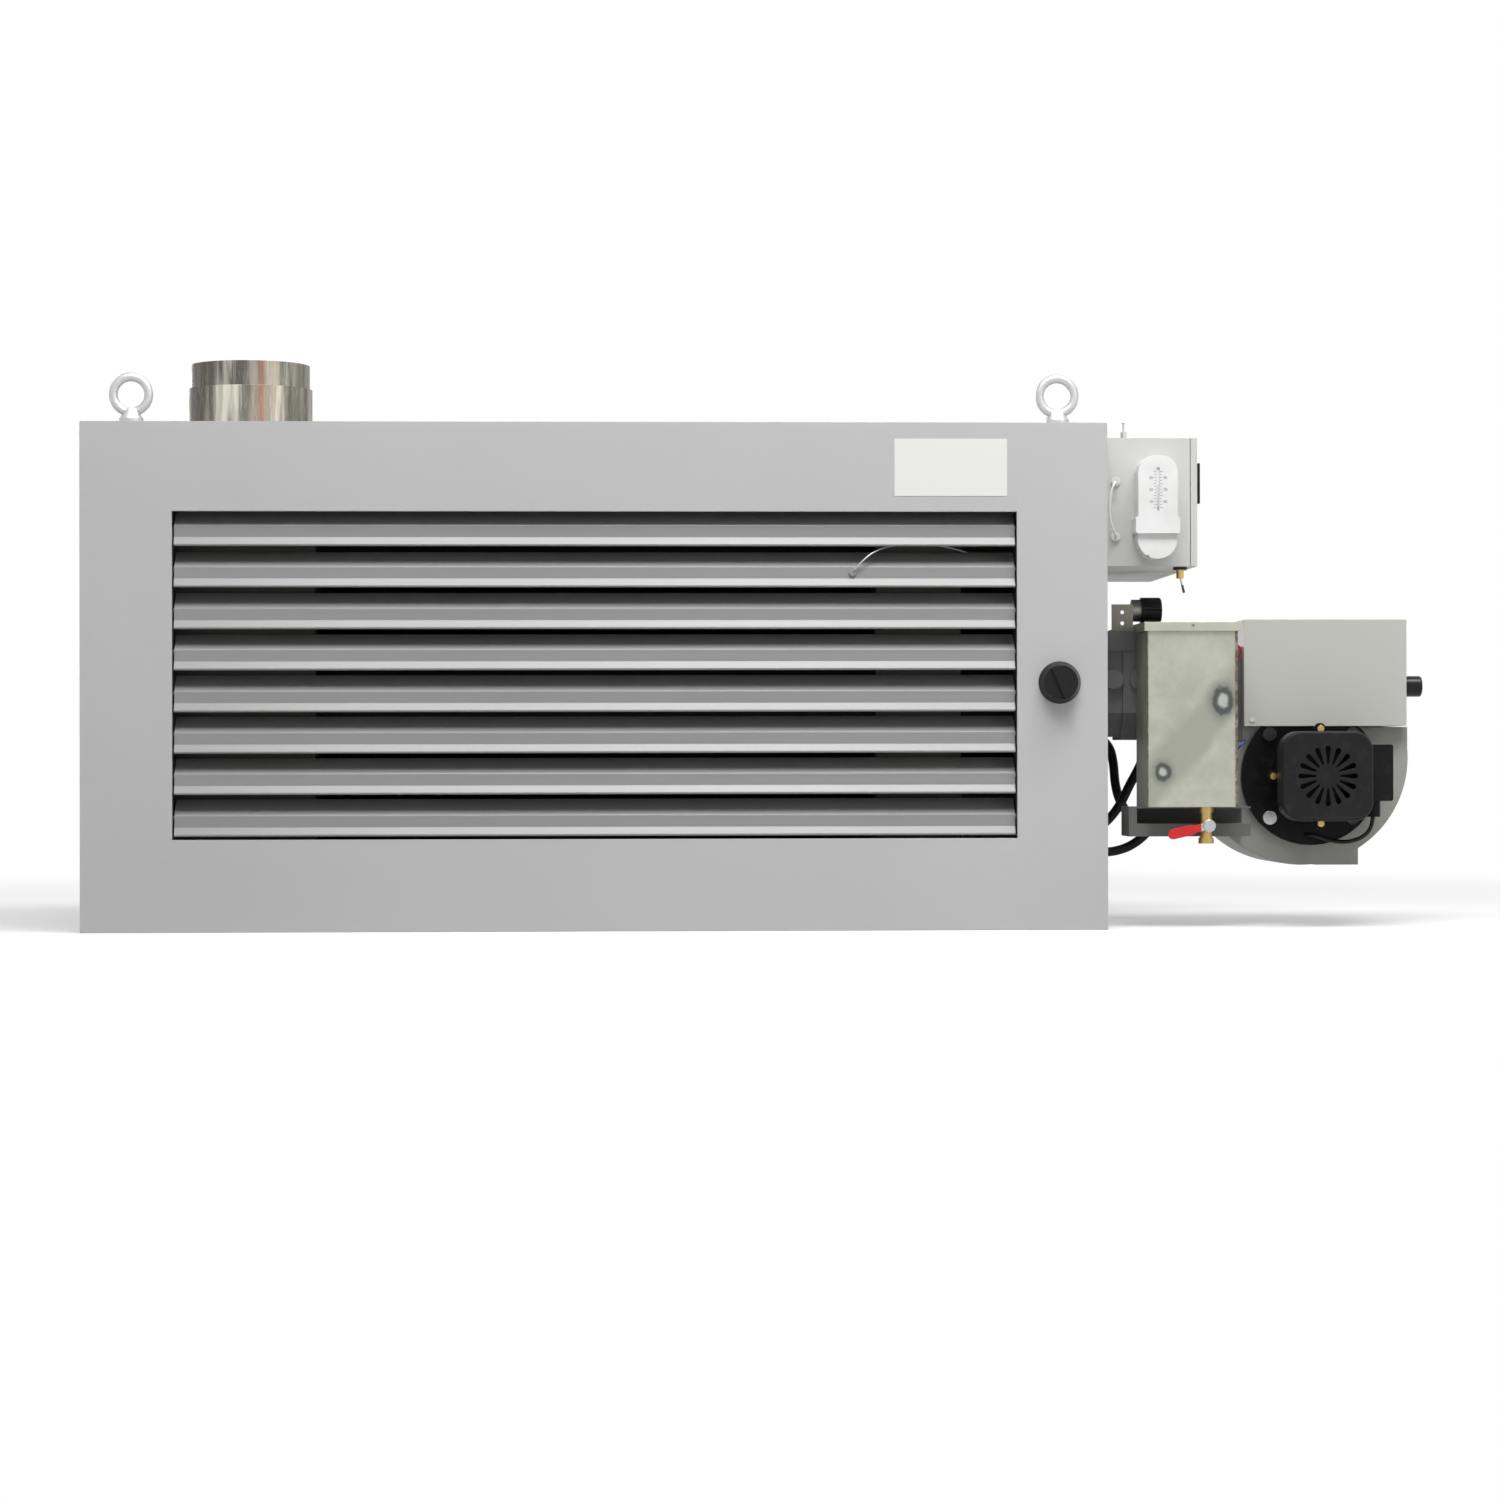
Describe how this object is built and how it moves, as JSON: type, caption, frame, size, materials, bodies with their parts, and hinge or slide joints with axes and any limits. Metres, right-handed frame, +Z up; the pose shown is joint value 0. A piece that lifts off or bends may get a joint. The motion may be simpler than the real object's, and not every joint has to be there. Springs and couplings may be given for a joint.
{
  "type": "waste oil heater",
  "caption": "Louvred air heater with a flue spigot, lifting eyes, control box, float tank and side-mounted oil burner.",
  "frame": {"origin": "centre of the cabinet's base face", "axes": "+X to the burner side, +Y from the louvred front to the rear fans, +Z up"},
  "size_m": [1.6767, 0.5876, 0.713],
  "materials": {
    "cabinet_paint": "fine-textured powder coat, light warm grey",
    "louvre_paint": "smooth semi-gloss grey",
    "zinc": "bright zinc plate",
    "flue_steel": "raw sheet steel with weld tints",
    "drum_steel": "dark heat-blackened steel",
    "header_steel": "pale mill-finish steel",
    "fan_black": "black wire and motor paint",
    "fan_blades": "pressed aluminium",
    "gloss_black": "glossy black moulding",
    "matte_black": "matt black moulding",
    "white_plastic": "satin white moulding",
    "white_film": "plain white film",
    "relay_grey": "grey relay housings on a zinc rail",
    "neck_grey": "dark grey painted casting",
    "volute_grey": "light grey painted casting",
    "motor_black": "black painted motor",
    "cowl_black": "charcoal moulded cowl",
    "tank_steel": "bare sheet steel with heat tints",
    "brass": "machined brass",
    "lever_red": "red vinyl sleeve on a zinc lever",
    "hose_black": "black rubber hose",
    "wire_white": "thin wire sheath",
    "capillary_metal": "bare capillary",
    "head_steel": "blast tube steel"
  },
  "bodies": {
    "cabinet": {"front_panel": "cabinet_paint", "top_panel": "cabinet_paint", "bottom_panel": "cabinet_paint", "side_panels": "cabinet_paint", "rear_panel": "cabinet_paint", "cleanout_cover": "cabinet_paint", "eye_bolts": "zinc", "flue_spigot": "flue_steel", "flue_sleeve": "flue_steel", "combustion_chamber": "drum_steel", "exchanger_headers": "header_steel", "exchanger_tubes": "drum_steel", "chamber_supports": "zinc", "fan_rings": "cabinet_paint", "fan_motors": "fan_black", "fan_thermostat": "matte_black", "capillary": "capillary_metal", "label_plate": "white_film", "control_box": "cabinet_paint", "contactor": "relay_grey", "panel_fittings": "matte_black", "room_thermostat": "white_plastic", "wires": "wire_white", "hoses": "hose_black", "neck_casting": "neck_grey", "burner_head": "head_steel", "volute": "volute_grey", "motor_plate": "motor_black", "motor_body": "motor_black", "motor_cowl": "cowl_black", "motor_screws": "zinc", "capacitor_box": "matte_black", "burner_cover": "cabinet_paint", "burner_relay": "matte_black", "oil_tank": "tank_steel", "tank_lid": "tank_steel", "shelf": "volute_grey", "drain_valve": "brass", "regulator": "zinc"},
    "fan_left": {"fan_left": "fan_blades"},
    "fan_right": {"fan_right": "fan_blades"},
    "burner_fan": {"burner_impeller": "fan_blades"},
    "damper": {"air_damper": "zinc"},
    "fan_knob": {"thermostat_knob": "gloss_black"},
    "room_dial": {"room_dial": "white_plastic"},
    "upper_toggle": {"upper_toggle": "zinc"},
    "lower_toggle": {"lower_toggle": "zinc"},
    "door": {"control_door": "cabinet_paint"},
    "latch": {"door_latch": "matte_black"},
    "drain_lever": {"drain_lever": "lever_red"},
    "regulator_knob": {"regulator_knob": "matte_black"},
    "reset": {"reset_button": "gloss_black"},
    "louvre_1": {"louvre_1": "louvre_paint"},
    "louvre_2": {"louvre_2": "louvre_paint"},
    "louvre_3": {"louvre_3": "louvre_paint"},
    "louvre_4": {"louvre_4": "louvre_paint"},
    "louvre_5": {"louvre_5": "louvre_paint"},
    "louvre_6": {"louvre_6": "louvre_paint"},
    "louvre_7": {"louvre_7": "louvre_paint"},
    "louvre_8": {"louvre_8": "louvre_paint"}
  },
  "joints": [
    {"name": "louvre_1_tilt", "type": "hinge", "parent": "cabinet", "child": "louvre_1", "pos_m": [0, -0.2323, 0.49125], "axis": [1, 0, 0], "range_deg": [-25, 12], "deforming": ["capillary"]},
    {"name": "louvre_2_tilt", "type": "hinge", "parent": "cabinet", "child": "louvre_2", "pos_m": [0, -0.2323, 0.44085], "axis": [1, 0, 0], "range_deg": [-25, 12], "deforming": ["capillary"]},
    {"name": "louvre_3_tilt", "type": "hinge", "parent": "cabinet", "child": "louvre_3", "pos_m": [0, -0.2323, 0.39045], "axis": [1, 0, 0], "range_deg": [-25, 12]},
    {"name": "louvre_4_tilt", "type": "hinge", "parent": "cabinet", "child": "louvre_4", "pos_m": [0, -0.2323, 0.34005], "axis": [1, 0, 0], "range_deg": [-25, 12]},
    {"name": "louvre_5_tilt", "type": "hinge", "parent": "cabinet", "child": "louvre_5", "pos_m": [0, -0.2323, 0.28965], "axis": [1, 0, 0], "range_deg": [-25, 12]},
    {"name": "louvre_6_tilt", "type": "hinge", "parent": "cabinet", "child": "louvre_6", "pos_m": [0, -0.2323, 0.23925], "axis": [1, 0, 0], "range_deg": [-25, 12]},
    {"name": "louvre_7_tilt", "type": "hinge", "parent": "cabinet", "child": "louvre_7", "pos_m": [0, -0.2323, 0.18885], "axis": [1, 0, 0], "range_deg": [-25, 12]},
    {"name": "louvre_8_tilt", "type": "hinge", "parent": "cabinet", "child": "louvre_8", "pos_m": [0, -0.2323, 0.13845], "axis": [1, 0, 0], "range_deg": [-25, 12]},
    {"name": "fan_left_spin", "type": "hinge", "parent": "cabinet", "child": "fan_left", "pos_m": [-0.29, 0.22, 0.3], "axis": [0, 1, 0], "continuous": true},
    {"name": "fan_right_spin", "type": "hinge", "parent": "cabinet", "child": "fan_right", "pos_m": [0.29, 0.22, 0.3], "axis": [0, 1, 0], "continuous": true},
    {"name": "burner_fan_spin", "type": "hinge", "parent": "cabinet", "child": "burner_fan", "pos_m": [0.8987, -0.06, 0.187], "axis": [0, 1, 0], "continuous": true},
    {"name": "damper_turn", "type": "hinge", "parent": "cabinet", "child": "damper", "pos_m": [0.8987, 0.0153, 0.187], "axis": [0, 1, 0], "range_deg": [0, 45]},
    {"name": "fan_knob_turn", "type": "hinge", "parent": "cabinet", "child": "fan_knob", "pos_m": [0.566, -0.2503, 0.302], "axis": [0, -1, 0], "range_deg": [-130, 130]},
    {"name": "room_dial_turn", "type": "hinge", "parent": "cabinet", "child": "room_dial", "pos_m": [0.691, -0.21, 0.4795], "axis": [0, -1, 0], "range_deg": [-120, 120]},
    {"name": "upper_toggle_flip", "type": "hinge", "parent": "cabinet", "child": "upper_toggle", "pos_m": [0.656, -0.17, 0.6119], "axis": [1, 0, 0], "range_deg": [0, 26]},
    {"name": "lower_toggle_flip", "type": "hinge", "parent": "cabinet", "child": "lower_toggle", "pos_m": [0.727, -0.166, 0.4371], "axis": [0, 1, 0], "range_deg": [0, 26]},
    {"name": "door_swing", "type": "hinge", "parent": "cabinet", "child": "door", "pos_m": [0.73605, 0.2143, 0.527], "axis": [0, 0, 1], "range_deg": [0, 110]},
    {"name": "latch_turn", "type": "hinge", "parent": "door", "child": "latch", "pos_m": [0.745, -0.163, 0.552], "axis": [1, 0, 0], "range_deg": [0, 90]},
    {"name": "drain_turn", "type": "hinge", "parent": "cabinet", "child": "drain_lever", "pos_m": [0.7537, -0.2225, 0.126], "axis": [0, -1, 0], "range_deg": [-13, 77]},
    {"name": "regulator_turn", "type": "hinge", "parent": "cabinet", "child": "regulator_knob", "pos_m": [0.69, -0.088, 0.3965], "axis": [1, 0, 0], "range_deg": [-160, 160]},
    {"name": "reset_press", "type": "slide", "parent": "cabinet", "child": "reset", "axis": [-1, 0, 0], "range_m": [0, 0.004], "stiffness_N_per_m": 600}
  ]
}
